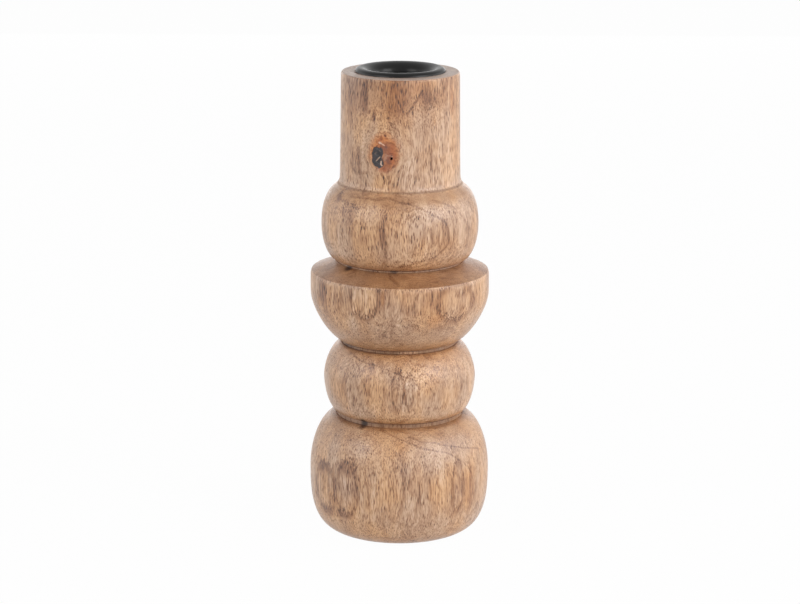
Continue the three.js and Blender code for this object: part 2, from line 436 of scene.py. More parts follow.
class Recipe:
    """Short forms for the nodes of a material or a world."""

    def __init__(self, owner):
        owner.use_nodes = True
        self.tree = owner.node_tree
        self.tree.nodes.clear()

    def node(self, kind, inputs=(), **settings):
        made = self.tree.nodes.new(kind)
        for name, value in settings.items():
            setattr(made, name, value)
        for socket, value in dict(inputs).items():
            self.set(made.inputs[socket], value)
        return made

    def set(self, socket, value):
        if isinstance(value, bpy.types.NodeSocket):
            self.tree.links.new(value, socket)
        else:
            socket.default_value = value

    def math(self, operation, first, second=0.0, third=0.0):
        return self.node("ShaderNodeMath", {0: first, 1: second, 2: third}, operation=operation).outputs[0]

    def vector(self, operation, first, second=(0.0, 0.0, 0.0)):
        made = self.node("ShaderNodeVectorMath", {0: first, 1: second}, operation=operation)
        return made.outputs["Value" if operation in ("LENGTH", "DISTANCE", "DOT_PRODUCT") else "Vector"]

    def chain(self, operation, values):
        """The operation over all the values, from the first on."""
        return reduce(lambda first, second: self.math(operation, first, second), values)

    def combine(self, x, y, z):
        return self.node("ShaderNodeCombineXYZ", {0: x, 1: y, 2: z}).outputs[0]

    def split(self, vector):
        return self.node("ShaderNodeSeparateXYZ", {0: vector}).outputs

    def millimetres(self):
        """The point's place in the piece, in millimetres."""
        place = self.node("ShaderNodeTexCoord").outputs["Object"]
        return self.vector("MULTIPLY", place, (1 / MM, 1 / MM, 1 / MM))

    def times(self, first, second):
        return self.math("MULTIPLY", first, second)

    def times_plus(self, first, second, third):
        """first times second, plus third."""
        return self.math("MULTIPLY_ADD", first, second, third)

    def scaled(self, vector, size):
        return self.node("ShaderNodeVectorMath", {0: vector, 3: size}, operation="SCALE").outputs[0]

    def noise(self, vector, detail, roughness, colour=False):
        inputs = {"Vector": vector, "Scale": 1.0, "Detail": detail, "Roughness": roughness}
        return self.node("ShaderNodeTexNoise", inputs).outputs["Color" if colour else "Fac"]

    def grain(self, vector, weave, colour=False):
        scaled = self.vector("MULTIPLY", vector, (weave.round_scale, weave.round_scale, weave.up_scale))
        return self.noise(scaled, weave.detail, weave.roughness, colour)

    def centred(self, value, size):
        """A value between 0 and 1 drawn out to size, with its middle at 0."""
        return self.times_plus(value, size, -size / 2)

    def spread(self, colour, reach):
        """A noise colour as a random shift, of up to half of reach either way."""
        return self.vector("MULTIPLY", self.vector("SUBTRACT", colour, (0.5, 0.5, 0.5)), reach)

    def cells(self, vector):
        """Distance to the nearest of scattered points, and a random value for that point."""
        made = self.node("ShaderNodeTexVoronoi", {"Vector": vector, "Scale": 1.0, "Randomness": 1.0})
        return made.outputs["Distance"], self.split(made.outputs["Color"])[0]

    def tones(self, value, stops):
        """The colour for a value between 0 and 1, from stops (lightness out of 255, colour)."""
        made = self.node("ShaderNodeValToRGB", {0: value})
        elements = made.color_ramp.elements
        elements.remove(elements[0])
        elements[0].position = stops[0][0] / 255
        elements[0].color = stops[0][1]
        for lightness, colour in stops[1:]:
            elements.new(lightness / 255).color = colour
        return made.outputs["Color"]

    def ramp(self, value, low, high, start=0.0, end=1.0):
        """start up to low, end from high on, and a smooth step between."""
        inputs = {"Value": value, "From Min": low, "From Max": high, "To Min": start, "To Max": end}
        return self.node("ShaderNodeMapRange", inputs, interpolation_type="SMOOTHSTEP").outputs[0]

    def fade(self, distance, reach, slope, strength):
        """The strength up to the slope's first share of reach, and nothing from its second share on."""
        return self.ramp(distance, slope[0] * reach, slope[1] * reach, strength, 0.0)

    def blend(self, share, first, second):
        inputs = {0: share, 6: first, 7: second}
        return self.node("ShaderNodeMix", inputs, data_type="RGBA").outputs[2]

    def shade(self, share, colour, tint):
        """The colour multiplied by a tint, as far as share says."""
        inputs = {0: share, 6: colour, 7: tint}
        return self.node("ShaderNodeMix", inputs, data_type="RGBA", blend_type="MULTIPLY").outputs[2]

    def bump(self, height, depth):
        """A surface normal for a height between 0 and 1, that stands for depth in millimetres."""
        inputs = {"Height": height, "Distance": depth * MM, "Strength": 1.0}
        return self.node("ShaderNodeBump", inputs).outputs[0]


class Coat(Recipe):
    """A new material with one Principled shader."""

    def __init__(self, name):
        self.material = bpy.data.materials.new(name)
        super().__init__(self.material)
        self.shader = self.node("ShaderNodeBsdfPrincipled")
        self.node("ShaderNodeOutputMaterial", {"Surface": self.shader.outputs[0]})

    def finish(self, colour, roughness, height, depth):
        """Links colour, roughness and a relief, and gives the material back."""
        self.set(self.shader.inputs["Base Color"], colour)
        self.set(self.shader.inputs["Roughness"], roughness)
        self.set(self.shader.inputs["Normal"], self.bump(height, depth))
        return self.material


class Weave(NamedTuple):
    """Noise drawn out along the trunk: waves to a millimetre round and up, detail and roughness."""
    round_scale: float
    up_scale: float
    detail: float = 1.0
    roughness: float = 0.5


class Mark(NamedTuple):
    """A patch of other colour on the turned surface: its middle, and its reach in degrees round and mm up."""
    azimuth: float
    height: float
    half_width: float
    half_height: float
    strength: float


class Trace(NamedTuple):
    """A thin line of other colour through places (azimuth, height) on the turned surface."""
    places: list
    half_width: float
    strength: float


def marks(*rows):
    return [Mark(*row) for row in rows]


def traces(*rows):
    return [Trace(*row) for row in rows]


# Marks on the surface where the photograph has them: grey, brown, rust and pale patches
ASH_MARKS = marks(
    (28, 193, 12, 5, 0.45), (-48, 193, 22, 9, 0.25), (-36, 191.4, 6, 8.5, 0.95),
    (-31.6, 186.6, 3.1, 1.7, 0.7), (-25.6, 183.3, 2.2, 3.5, 1.0), (-71.5, 172.3, 6.5, 3.8, 0.5),
    (-58.7, 149.1, 5, 2.2, 0.85), (-29.8, 134.2, 1.5, 3.8, 0.55), (-12.9, 135.5, 2.1, 4, 0.6),
    (-26.5, 134.4, 3.2, 3.8, 0.25), (-58.5, 109.1, 6.4, 6, 0.65), (-21.7, 78, 3.4, 3, 0.45),
    (-58, 33, 11, 3.4, 0.6), (-54.5, 14.9, 9, 2.6, 0.5), (-66.7, 22.2, 4, 8.4, 0.5),
    (-36, 34.8, 10, 4.2, 0.68), (-30, 27.6, 3.2, 9, 0.65), (-38.9, 15.1, 9, 2.6, 0.58),
    (-36, 25, 8.5, 9.5, 0.32), (-45.2, 25.8, 2, 9, 0.6), (-39, 26, 1.2, 8, 0.45),
    (-60.5, 25, 1.4, 8, 0.45), (-51, 24, 1.2, 8, 0.35), (44.2, 26.8, 1.8, 4.4, 0.75),
    (40.4, 26.9, 4.2, 9.7, 0.4),
)
# Brown patches; the first six, broad and faint, are painted shade on shoulders and on the left of bowl and
# collar
UMBER_AND_SHADE_MARKS = marks(
    (40, 75, 26, 5.5, 0.32), (-42, 44.5, 26, 6, 0.26), (44, 45, 24, 6, 0.22),
    (-48, 142, 22, 6, 0.26), (-64, 105, 16, 14, 0.28), (-60, 190, 24, 12, 0.22),
    (-6, 192, 17, 10, 0.5), (0, 198, 90, 4, 0.35), (-58.5, 188.7, 4.5, 8.3, 0.5),
    (3.4, 180.4, 1.6, 1.5, 0.8), (35.3, 191.3, 18, 6, 0.55), (44.7, 194.2, 3.8, 3.1, 0.65),
    (-47.1, 164.5, 7, 6.5, 0.45), (-44.1, 144.5, 11, 3.4, 0.65), (-1.8, 136.9, 1, 2.5, 0.55),
    (29, 134.8, 1.4, 3, 0.55), (38.1, 134.2, 2.4, 3.8, 0.45), (-39.3, 108.4, 4.3, 4.7, 0.55),
    (19.3, 109.7, 5, 4.9, 0.6), (44, 110.7, 8.5, 2.1, 0.65), (10.2, 105.4, 6, 3, 0.4),
    (-11.7, 68.2, 1.4, 3.9, 0.55), (14.6, 68.6, 1.4, 5.6, 0.4), (-1.3, 69.3, 3.7, 7.7, 0.3),
    (2.4, 36.1, 10.9, 8.3, 0.3), (-19.3, 24.6, 1.7, 5.8, 0.45), (12.6, 27.7, 1.4, 7.4, 0.5),
    (-17.5, 50, 3, 0.8, 0.65), (-5.3, 41.7, 1.1, 0.6, 0.75),
)
RUST_MARKS = marks(
    (-4, 193, 50, 11, 0.55), (-5.6, 194.9, 6.6, 5.1, 0.7), (58.7, 189.3, 4.3, 8.8, 0.6),
    (34.3, 181.2, 1.4, 1.2, 0.6), (-16.6, 151.9, 3.6, 0.6, 0.6), (-11.4, 110.4, 1.5, 4.4, 0.8),
    (23.8, 100.2, 6.1, 4.5, 0.5), (-46.9, 26.2, 1.6, 9.3, 0.7), (51.2, 24.4, 5.8, 10.8, 0.6),
    (3.4, 69.3, 1.6, 4.3, 0.6), (3.3, 46, 7, 3, 0.4),
)
PALE_MARKS = marks(
    (10, 76, 17, 4, 0.5), (-8, 30, 15, 12, 0.35), (24, 30, 11, 12, 0.35),
    (29, 163.7, 29.7, 11.3, 0.35), (-23, 109.4, 8.6, 7.2, 0.55), (39.3, 106.4, 11.7, 6, 0.25),
    (-55.9, 23.8, 8, 9, 0.6), (-36.6, 25.1, 7.5, 9.5, 0.6), (-57.5, 67.6, 6.7, 4, 0.35),
    (7.5, 136.9, 2.9, 2.9, 0.35), (-46.7, 175.2, 17.1, 4.2, 0.25), (38.8, 26.7, 2, 7.1, 0.3),
)

# Growth rings that the surface cuts into closed lines, and single lines
RING_MARKS = marks(
    (-23, 109.8, 9.6, 8.5, 0.8), (39.3, 107.3, 14.6, 8.2, 0.7), (-47.6, 82.1, 3.4, 0.6, 0.6),
    (-1.3, 69.3, 4.4, 8.5, 0.8), (7.5, 69.5, 3.9, 6.4, 0.6), (-35.3, 26.5, 8.9, 11.5, 0.45),
    (-55.4, 23.9, 10.4, 10.9, 0.4), (40.9, 26.9, 5.3, 10.2, 0.7),
)
TRACES = traces(
    ([(-2.3, 190.8), (4.3, 185.4)], 0.5, 0.6),
    ([(-11.7, 183.6), (-8.8, 180.4), (-4.1, 178.8)], 0.5, 0.4),
    ([(21.3, 195.1), (7.8, 185.8)], 0.45, 0.95),
    ([(-51.9, 169.2), (-51.7, 161.1), (-46.2, 159.2)], 0.6, 0.6),
    ([(-43.1, 169.8), (-41.9, 160)], 0.7, 0.6),
    ([(-46.2, 159.2), (-32.7, 160.3)], 0.6, 0.5),
    ([(-17.9, 159.9), (-15.9, 158.6), (-13.9, 157.2)], 0.6, 0.95),
    ([(-13.9, 157.2), (-9.4, 153.1)], 0.4, 0.45),
    ([(30.1, 171.6), (30.1, 161.9)], 0.4, 0.4),
    ([(-55.6, 148), (-44.8, 147.5), (-34.8, 146.4)], 0.7, 0.5),
    ([(-19.6, 150.4), (-7.7, 150.7)], 0.4, 0.5),
    ([(-46, 149.9), (-7.6, 150.3), (5.5, 149.1), (16.2, 146.9), (25.1, 144.3), (32.1, 142.1),
      (35.7, 140.2), (38.1, 137.6), (38.4, 134.6), (37, 131.7), (33.8, 129.3), (26, 126.5),
      (12.4, 123.7), (0.1, 122.1)], 0.4, 0.5),
    ([(27.5, 149.3), (37.5, 147.7), (45.1, 145.4), (53.1, 141.3), (58.9, 136.5), (59.6, 132.6),
      (57.5, 128.9), (53.8, 126.4), (39.4, 123.2)], 0.4, 0.42),
    ([(-9.1, 118.2), (-5.9, 117), (-0.6, 115.7)], 0.5, 0.5),
    ([(-43.9, 81.2), (-29.5, 80.4), (-16.1, 79), (-2.8, 77), (13.4, 73.7)], 0.32, 0.5),
    ([(-15.4, 51.5), (-4, 49.7), (6.3, 47.6), (15.4, 45.7), (24.4, 43.9), (33.5, 42.1), (40.6, 39.7),
      (46.9, 36.6), (51.4, 32.7), (53.8, 28.9)], 0.32, 0.5),
    ([(6.6, 49.2), (18.9, 47.6), (33, 45.3), (46.9, 42.9), (66, 39.8)], 0.32, 0.5),
)

# Painted shade in the grooves, places where the fibres run out of the surface, and places with calm grain
GROOVE_SHADE_MARKS = marks(
    (-52, 118.9, 5.5, 1.3, 0.9), (-5.5, 119.2, 4.2, 1, 0.75), (-62, 84, 14, 0.9, 0.55),
    (-33.5, 53, 4.4, 2.4, 1),
)
SHORT_GRAIN_MARKS = marks(
    (-22, 176, 36, 20, 1), (24, 186, 30, 10, 1),
)
CALM_MARKS = marks(
    (52, 60, 45, 120, 0.35), (0, 117, 250, 3, 0.6), (0, 150, 250, 4, 0.6),
)

# The knot's parts
FILLER_MARKS = marks(
    (-22.4, 168.2, 6.4, 4, 1), (-22.4, 165.8, 6.2, 3.6, 1), (-19.6, 164.4, 5.2, 2.4, 1),
    (-18.9, 169.2, 3.4, 2.6, 1),
)
SCORCH_MARKS = marks(
    (-7.6, 168.5, 5, 6.5, 0.75), (-18.5, 174.6, 4, 1, 0.6), (-17, 171.6, 5.5, 1.8, 0.65),
    (-15, 162.2, 8, 2.2, 0.75),
)
HEART_MARKS = marks(
    (-14.5, 170.8, 6.5, 3.2, 0.85), (-12.5, 166.5, 6, 4.6, 0.8),
)
FLECK_MARKS = marks(
    (-14, 167, 3, 1.6, 0.25),
)
PINHOLE_MARKS = marks(
    (PINHOLE_AZIMUTH, PINHOLE_HEIGHT, 1.4, 0.75, 1.0), (-7.9, 168.1, 0.9, 0.4, 0.6),
)
# Pale flecks on and beside the filler, partly chips and partly painted glints
FLECK_AND_GLINT_TRACES = traces(
    ([(-19.8, 173.3), (-18.6, 173.2)], 0.42, 0.9),
    ([(-18.6, 173.2), (-15, 172.2)], 0.22, 0.8),
    ([(-18.2, 165.4), (-18.2, 164.4), (-16.9, 163.8)], 0.36, 0.9),
    ([(-23.5, 165.4), (-19.5, 167.4)], 0.2, 0.55),
    ([(-24.6, 168.4), (-23.4, 168.9)], 0.3, 0.12),
    ([(-20.2, 170), (-19, 169.6)], 0.3, 0.12),
    ([(-12.2, 167.9), (-7.3, 167.9)], 0.16, 0.4),
)

# Marks drawn by lot: each form's heights, azimuths round the back, how far marks stray from them, and the
# azimuth that their edges keep inside of
LOT_SEED = 20
LOT_FORMS = [(16.0, 38.0), (62.0, 76.0), (94.0, 110.0), (126.0, 143.0), (160.0, 192.0)]
LOT_TURNS = range(88, 272, 34)
LOT_STRAY = 6.0
LOT_SEAM = 176.0
LOT_EDGE = 1.3

# Their reach in degrees, and as a share of the form's height, and how much of that stays on the form
LOT_HALF_WIDTHS = (4.0, 9.0)
LOT_HALF_HEIGHTS = (0.28, 0.46)
LOT_INSIDE = 0.9

# An oval is a ring line round a pale core with a grey cap
LOT_KINDS = ["oval", "rust", "umber_and_shade", "ash", "pale"]
OVAL_STRENGTHS = (0.5, 0.75)
OVAL_CORE = 0.8
OVAL_CAP = 0.22
OVAL_INNER_STRENGTH = 0.5
PATCH_WIDTH = 0.7
PATCH_STRENGTHS = (0.35, 0.65)


def scatter_marks():
    """More marks on the sides and the back, drawn by lot in the manner of those in front."""
    draw = random.Random(LOT_SEED)
    tables = {"rust": RUST_MARKS, "umber_and_shade": UMBER_AND_SHADE_MARKS, "ash": ASH_MARKS, "pale": PALE_MARKS}
    for low, high in LOT_FORMS:
        for turn in LOT_TURNS:
            azimuth = turn + draw.uniform(-LOT_STRAY, LOT_STRAY)
            azimuth -= 360 if azimuth > 180 else 0
            half_width = draw.uniform(*LOT_HALF_WIDTHS)
            azimuth = math.copysign(min(abs(azimuth), LOT_SEAM - LOT_EDGE * half_width), azimuth)
            half_height = (high - low) * draw.uniform(*LOT_HALF_HEIGHTS)
            inside = half_height * LOT_INSIDE
            height = draw.uniform(low + inside, high - inside)
            kind = draw.choice(LOT_KINDS)
            if kind == "oval":
                strength = draw.uniform(*OVAL_STRENGTHS)
                core = half_width * OVAL_CORE
                cap = height + half_height
                RING_MARKS.append(Mark(azimuth, height, half_width, half_height, strength))
                PALE_MARKS.append(Mark(azimuth, height, core, half_height * OVAL_CORE, OVAL_INNER_STRENGTH))
                ASH_MARKS.append(Mark(azimuth, cap, core, half_height * OVAL_CAP, OVAL_INNER_STRENGTH))
            else:
                strength = draw.uniform(*PATCH_STRENGTHS)
                tables[kind].append(Mark(azimuth, height, half_width * PATCH_WIDTH, half_height, strength))


# Lightness of the wood from 0 to 255, and its colour at that lightness
WOOD_TONES = [
    (40, srgb(60, 36, 26)),
    (67, srgb(88, 56, 40)),
    (97, srgb(123, 83, 57)),
    (127, srgb(155, 113, 83)),
    (157, srgb(184, 144, 112)),
    (187, srgb(210, 174, 143)),
    (217, srgb(226, 198, 176)),
]

# The mean lightness, and how much lighter walls and the holder's foot are
MEAN_TONE = 158
WALL_TONE = 17
FOOT_TONE = 5

# How far each kind of grain moves the lightness, and each kind of mark
FINE_TONE = 68
MEDIUM_TONE = 52
BROAD_TONE = 54
FIBRE_TONE = 110
DASH_TONE = 33
PORE_TONE = 74
RING_TONE = 24
TURNING_TONE = 26
END_TONE = 8
ASH_TONE = 58
UMBER_AND_SHADE_TONE = 52
RUST_TONE = 16
PALE_TONE = 20
RIM_TONE = 60
TRACE_TONE = 75

ASH_TINT = srgb(244, 244, 255)
RUST_TINT = srgb(255, 234, 200)
WARM_TINT = srgb(255, 243, 222)
COOL_TINT = srgb(244, 244, 246)
# Painted sheen: the collar's top paler and greyer
TOP_SHEEN_COLOUR = srgb(206, 184, 170)
# Painted shade in the creases
GROOVE_SHADE_COLOUR = srgb(68, 34, 14)
# Painted shade for blotches in the grooves
GROOVE_SHADE_TINT = srgb(84, 62, 44)
HALO_TINT = srgb(243, 194, 140)
SCORCH_TINT = srgb(206, 164, 148)
KNOT_HEART = srgb(144, 84, 56)
KNOT_HEART_DARK = srgb(112, 62, 42)
FILLER_COLOUR = srgb(22, 14, 16)
FILLER_GREY = srgb(50, 40, 42)
# Pale flecks, partly painted glints
FLECK_AND_GLINT_COLOUR = srgb(222, 184, 158)
PINHOLE_COLOUR = srgb(30, 14, 8)

# The wood's grain
DRIFT = Weave(0.028, 0.011)
LONG_GRAIN = Weave(2.7, 0.24, 2.0, 0.6)
SHORT_GRAIN = Weave(2.7, 0.95, 2.0, 0.6)
MEDIUM_STREAKS = Weave(0.62, 0.05)
BROAD_STREAKS = Weave(0.20, 0.014)
RING_WAVES = Weave(0.17, 0.012)
RING_PATCHES = Weave(0.09, 0.05)
WANDER = Weave(0.12, 0.12)
HUE_PATCHES = Weave(0.075, 0.045, 2.0)
POLISH = Weave(0.12, 0.08, 2.0)
KNOT_CURL = Weave(0.55, 0.55, 3.0, 0.6)

# How far fibres drift, and how hard and how softly the knot pulls them aside
DRIFT_REACH = (12.0, 12.0, 0.0)
KNOT_PULL = 0.65
PULL_SOFTNESS = 0.25

# How far streaks shift the edges of marks, and how far lines wander: degrees round, millimetres up
WARP_ROUND = 5.0
WARP_UP_FINE = 7.0
WARP_UP_MEDIUM = 4.0
WANDER_REACH = (4.0, 2.0, 0.0)

# Slopes, as Recipe.ramp takes them: what counts as end grain and as a wall, by how far it faces up
END_GRAIN_SLOPE = (0.80, 0.97)
WALL_SLOPE = (0.25, 0.75, 1.0, 0.35)

# Contrast of the grain, and what a wall adds to it
LEAST_CONTRAST = 0.65
WALL_CONTRAST = 0.45

# Dark dashes where the fine grain is low, and marks and lines that the grain breaks up
DASH_SLOPE = (0.38, 0.51, 1.0, 0.0)
MARK_BREAKS = (0.25, 0.75, 1.35, 0.55)
TRACE_BREAKS = (0.3, 0.6, 1.1, 0.6)
GROOVE_BREAKS = (0.3, 0.6, 0.75, 1.0)

# Pores: cells to a millimetre each way, their width, and which are deep
PORE_SCALE = (1.5, 1.5, 0.26)
PORE_SLOPE = (0.14, 0.36, 1.0, 0.0)
PORE_DEPTHS = (0.15, 0.75)

# Growth rings: the pith's place, the trunk's taper, the rings' spacing, their waves, and where they darken
PITH = (5.0, 6.5)
TRUNK_TAPER = 0.04
RING_SPACING = 2.3
RING_SWAY = 11.0
RING_WOBBLE = 1.2
LATE_RISE = (0.35, 0.88)
LATE_END = (0.90, 1.0, 1.0, 0.0)
LATE_PATCHES = (0.40, 0.60, 0.15, 1.0)

# Heights between which the foot's tone fades out
FOOT_SLOPE = (20.0, 110.0, 1.0, 0.0)

# The turning tool's marks on flat faces: waves to a millimetre, and the noise's detail and roughness
TURNING_MARKS = 1.1
TURNING_DETAIL = (2.0, 0.6)

# Cool and warm patches, and the share of them that any slope shows
HUE_SLOPE = (0.36, 0.64)
LEAST_HUE = 0.4

# Painted sheen on the collar's top: how far below it the pale colour starts and is full, how grain breaks it
# up
TOP_SHEEN_START = 0.43
TOP_SHEEN_FULL = 0.08
TOP_SHEEN_BREAKS = (0.3, 0.7, 0.45, 0.85)

# The knot's colours: how far they curl, how mottled they are, and where the halo and the filler end
CURL_REACH = (9.0, 5.0, 0.0)
FILLER_CURL = (0.22, 0.22, 0.0)
MOTTLE_SLOPE = (0.36, 0.64)
MOTTLE_REACH = 0.15
HALO_SLOPE = (0.80, 1.28, 0.95, 0.0)
FILLER_EDGE = (0.30, 0.60)
FLECK_AND_GLINT_BREAKS = (0.40, 0.56, 0.45, 1.0)

# Roughness of the bare coat and what each part adds to it, then the coat's gloss and relief
WOOD_ROUGHNESS = 0.26
POLISH_ROUGHNESS = 0.10
PORE_ROUGHNESS = 0.25
END_ROUGHNESS = 0.08
CREASE_ROUGHNESS = 0.5
FILLER_ROUGHNESS = -0.12
WOOD_SPECULAR = 0.65
WOOD_RELIEF = 0.12

# Where patches, lines and creases are full and where they end, in shares of their reach
PATCH_FADE = (0.35, 1.20)
RIM_FADE = (0.08, 0.50)
TRACE_FADE = (0.4, 1.6)
CREASE_FADE = (0.35, 1.5)

# How many degrees before and after its sector's end a crease fades
SECTOR_FADE = 2.5

# Millimetres that a degree round the body stands for, when a line's width is measured
DEGREE_REACH = 0.5


class Crease(NamedTuple):
    """A line of painted shade where two turned forms meet, over a sector of azimuths."""
    radius: float
    height: float
    azimuth: float
    half_sector: float
    half_width: float
    strength: float


# Painted shade in creases: the outline's corner from the lowest, azimuth, half sector, half width and
# strength
DARK_SECTORS = [
    (0, 0, 180, 0.25, 0.3),
    (0, -61, 29, 0.4, 0.8),
    (1, 0, 180, 0.32, 0.6),
    (1, 29, 61, 0.4, 0.85),
    (2, 0, 180, 0.3, 0.5),
    (2, -89, 89, 0.55, 0.8),
    (2, 98, 81, 0.45, 0.7),
    (3, 0, 180, 0.32, 0.6),
    (3, -89, 89, 0.55, 0.8),
    (3, 98, 81, 0.4, 0.6),
    (4, 0, 180, 0.3, 0.6),
    (5, 0, 180, 0.36, 0.8),
]

# The same for the narrow walls at the bottom of two grooves, each from its lower corner
BAND_SECTORS = [
    (0, 0, 180, 0.9, 0.58),
    (2, -91, 91, 0.75, 0.62),
    (2, 98, 81, 0.75, 0.58),
]

# Painted shade at the collar's foot
COLLAR_FOOT = 152.5
COLLAR_SHADOW = (0.0, 180.0, 0.55, 0.45)

# Painted shadow of the cup's lip on the wood beside it, with its radius in place of a corner
LIP_SHADOWS = [
    (19, 0, 180, 0.35, 0.4),
    (19.2, -52, 26, 0.6, 0.85),
]

# Only corners farther out than this, and between these heights, are creases
CREASE_RADIUS = 18.0
CREASE_HEIGHTS = (10.0, 170.0)


def find_corners(rows):
    """The corners of the outline between two forms, from the lowest, each a radius and a height."""
    low, high = CREASE_HEIGHTS
    outer = [row for row in rows if row[0] > CREASE_RADIUS and low < row[1] < high]
    trios = zip(outer, outer[1:], outer[2:])
    return [here for before, here, after in trios if bend(before, here, after) < -CORNER_ANGLE]


def make_creases(rows):
    """The painted shade between forms, over narrow walls, at the collar's foot and beside the cup's lip."""
    corners = find_corners(rows)
    creases = [Crease(*corners[corner], *sector) for corner, *sector in DARK_SECTORS]
    creases.append(Crease(surface_radius(rows, COLLAR_FOOT), COLLAR_FOOT, *COLLAR_SHADOW))
    for corner, *sector in BAND_SECTORS:
        (radius, low), (_, high) = corners[corner:corner + 2]
        creases.append(Crease(radius, (low + high) / 2, *sector))
    creases += [Crease(radius, top_height(rows), *sector) for radius, *sector in LIP_SHADOWS]
    return creases


# Painted shade along each crease, fading away from it and at its sector's ends
def crease_shade_lines(mix, across, height, azimuth, creases):
    profile = mix.combine(across, height, 0.0)

    def line(crease):
        distance = mix.vector("DISTANCE", profile, Vector((crease.radius, crease.height, 0)))
        dark = mix.fade(distance, crease.half_width, CREASE_FADE, crease.strength)
        if crease.half_sector == 180:
            return dark
        turn = mix.math("ABSOLUTE", mix.math("SUBTRACT", azimuth, crease.azimuth))
        ends = (crease.half_sector - SECTOR_FADE, crease.half_sector + SECTOR_FADE)
        return mix.times(dark, mix.ramp(turn, *ends, 1.0, 0.0))

    return mix.chain("MAXIMUM", map(line, creases))


def in_mark(mix, surface, mark):
    """The surface place seen from a mark's middle, with the mark's reach as the unit."""
    scale = Vector((1 / mark.half_width, 1 / mark.half_height, 0))
    middle = Vector((-mark.azimuth / mark.half_width, -mark.height / mark.half_height, 0))
    inputs = {0: surface, 1: scale, 2: middle}
    return mix.node("ShaderNodeVectorMath", inputs, operation="MULTIPLY_ADD").outputs[0]


def patches(mix, surface, table):
    def patch(mark):
        reach = mix.vector("LENGTH", in_mark(mix, surface, mark))
        return mix.fade(reach, 1.0, PATCH_FADE, mark.strength)

    return mix.chain("MAXIMUM", map(patch, table))


def rims(mix, surface, table):
    """Growth rings that the surface cuts into closed lines."""
    def rim(mark):
        offset = in_mark(mix, surface, mark)
        reach = mix.vector("DOT_PRODUCT", offset, offset)
        beside = mix.math("ABSOLUTE", mix.math("SUBTRACT", reach, 1.0))
        return mix.fade(beside, 1.0, RIM_FADE, mark.strength)

    return mix.chain("MAXIMUM", map(rim, table))


def traced(mix, surface, table):
    """Thin lines, each measured from the nearest of its straight stretches."""
    flat = mix.vector("MULTIPLY", surface, (DEGREE_REACH, 1.0, 0.0))

    def gap(start, end):
        way = end - start
        offset = mix.vector("SUBTRACT", flat, start)
        along = mix.vector("DOT_PRODUCT", offset, way / way.length_squared)
        along = mix.node("ShaderNodeClamp", {"Value": along}).outputs[0]
        return mix.vector("DISTANCE", offset, mix.scaled(way, along))

    def line(trace):
        places = [Vector((azimuth * DEGREE_REACH, height, 0)) for azimuth, height in trace.places]
        nearest = mix.chain("MINIMUM", map(gap, places, places[1:]))
        return mix.fade(nearest, trace.half_width, TRACE_FADE, trace.strength)

    return mix.chain("MAXIMUM", map(line, table))


def fibre_place(mix, place, rows):
    """The place along fibres that drift and part round the knot, and how far from the knot it is."""
    drift = mix.spread(mix.grain(place, DRIFT, colour=True), DRIFT_REACH)
    knot_middle = on_surface(KNOT_AZIMUTH, surface_radius(rows, KNOT_HEIGHT), KNOT_HEIGHT)
    from_knot = mix.vector("SUBTRACT", place, knot_middle)
    knot_scale = (1 / KNOT_HALF_WIDTH, 1 / KNOT_HALF_WIDTH, 1 / KNOT_HALF_HEIGHT)
    knot_reach = mix.vector("LENGTH", mix.vector("MULTIPLY", from_knot, knot_scale))
    pull = mix.times_plus(knot_reach, knot_reach, PULL_SOFTNESS)
    pull = mix.math("MAXIMUM", mix.math("DIVIDE", -KNOT_PULL, pull), -KNOT_PULL)
    flow = mix.vector("MULTIPLY", mix.scaled(from_knot, pull), (1.0, 1.0, 0.0))
    return mix.vector("ADD", mix.vector("ADD", place, drift), flow), knot_reach


def pore_share(mix, fibre):
    """Thin hollows that show as dashes along the fibre and as dots across it."""
    distance, draw = mix.cells(mix.vector("MULTIPLY", fibre, PORE_SCALE))
    return mix.times(mix.ramp(distance, *PORE_SLOPE), mix.ramp(draw, *PORE_DEPTHS))


def late_wood(mix, place, parts, medium):
    """Growth rings, wavy round the trunk, each a little darker towards its outside."""
    x, y, height = parts
    wave = mix.centred(mix.grain(place, RING_WAVES), RING_SWAY)
    from_pith = mix.combine(mix.math("SUBTRACT", x, PITH[0]), mix.math("SUBTRACT", y, PITH[1]), 0.0)
    ring = mix.math("ADD", mix.vector("LENGTH", from_pith), wave)
    wobble = mix.centred(medium, RING_WOBBLE)
    ring = mix.math("ADD", ring, mix.times_plus(height, TRUNK_TAPER, wobble))
    growth = mix.math("FRACT", mix.times(ring, 1 / RING_SPACING))
    late = mix.times(mix.ramp(growth, *LATE_RISE), mix.ramp(growth, *LATE_END))
    return mix.times(late, mix.ramp(mix.grain(place, RING_PATCHES), *LATE_PATCHES))


